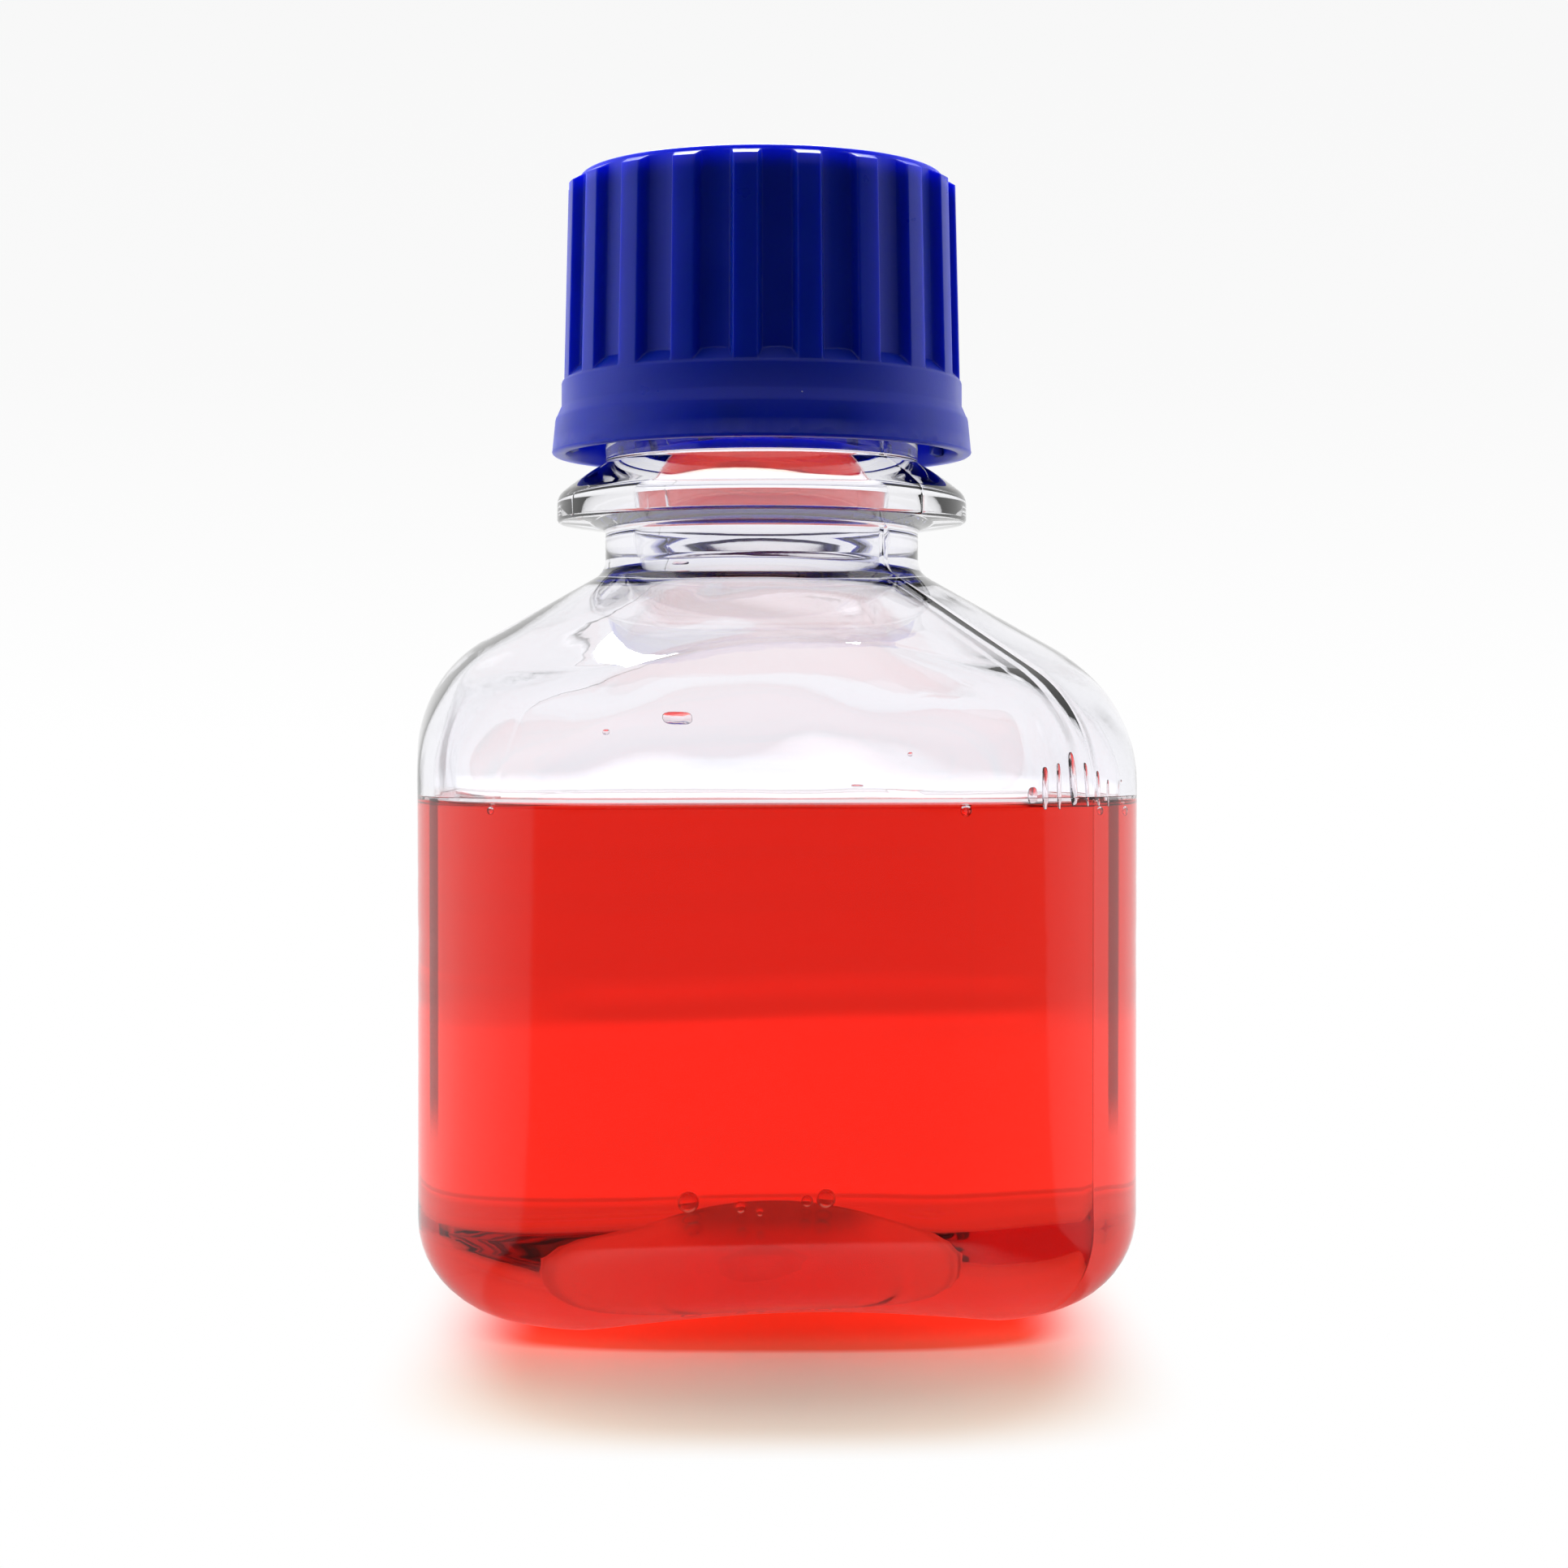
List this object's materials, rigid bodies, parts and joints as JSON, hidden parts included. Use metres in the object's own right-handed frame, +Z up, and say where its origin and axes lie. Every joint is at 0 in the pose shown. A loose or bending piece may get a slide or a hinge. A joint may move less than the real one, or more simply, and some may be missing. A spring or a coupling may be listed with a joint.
{
  "type": "laboratory bottle",
  "caption": "Small square clear laboratory bottle with a round collared neck, a ribbed blue screw cap on a thread, a seal liner and a red liquid fill.",
  "frame": {"origin": "middle of the bottle's base, at the level of its four feet", "axes": "+Z up along the bottle's axis, X and Y square to its flat sides; the pictured side faces -Y"},
  "size_m": [0.0568, 0.0568, 0.0911],
  "materials": {
    "clear_bottle": "clear moulded polyester, glossy, faint lavender tint",
    "red_liquid": "clear red watery liquid",
    "white_liner": "white foamed polyethylene, matt",
    "blue_cap": "ultramarine moulded polyolefin, semi-matt with a fine grain"
  },
  "bodies": {
    "bottle_body": {"bottle": "clear_bottle", "liquid": "red_liquid"},
    "liner_body": {"seal_liner": "white_liner"},
    "cap_body": {"screw_cap": "blue_cap"}
  },
  "joints": [
    {"name": "cap_lift", "type": "slide", "parent": "bottle_body", "child": "liner_body", "axis": [0, 0, 1], "range_m": [0, 0.0212]},
    {"name": "cap_turn", "type": "hinge", "parent": "liner_body", "child": "cap_body", "pos_m": [0, 0, 0.0793], "axis": [0, 0, 1], "range_deg": [0, 1800]}
  ],
  "couplings": [
    {"joint": "cap_lift", "follows": "cap_turn", "m_per_rad": 0.0006737}
  ]
}
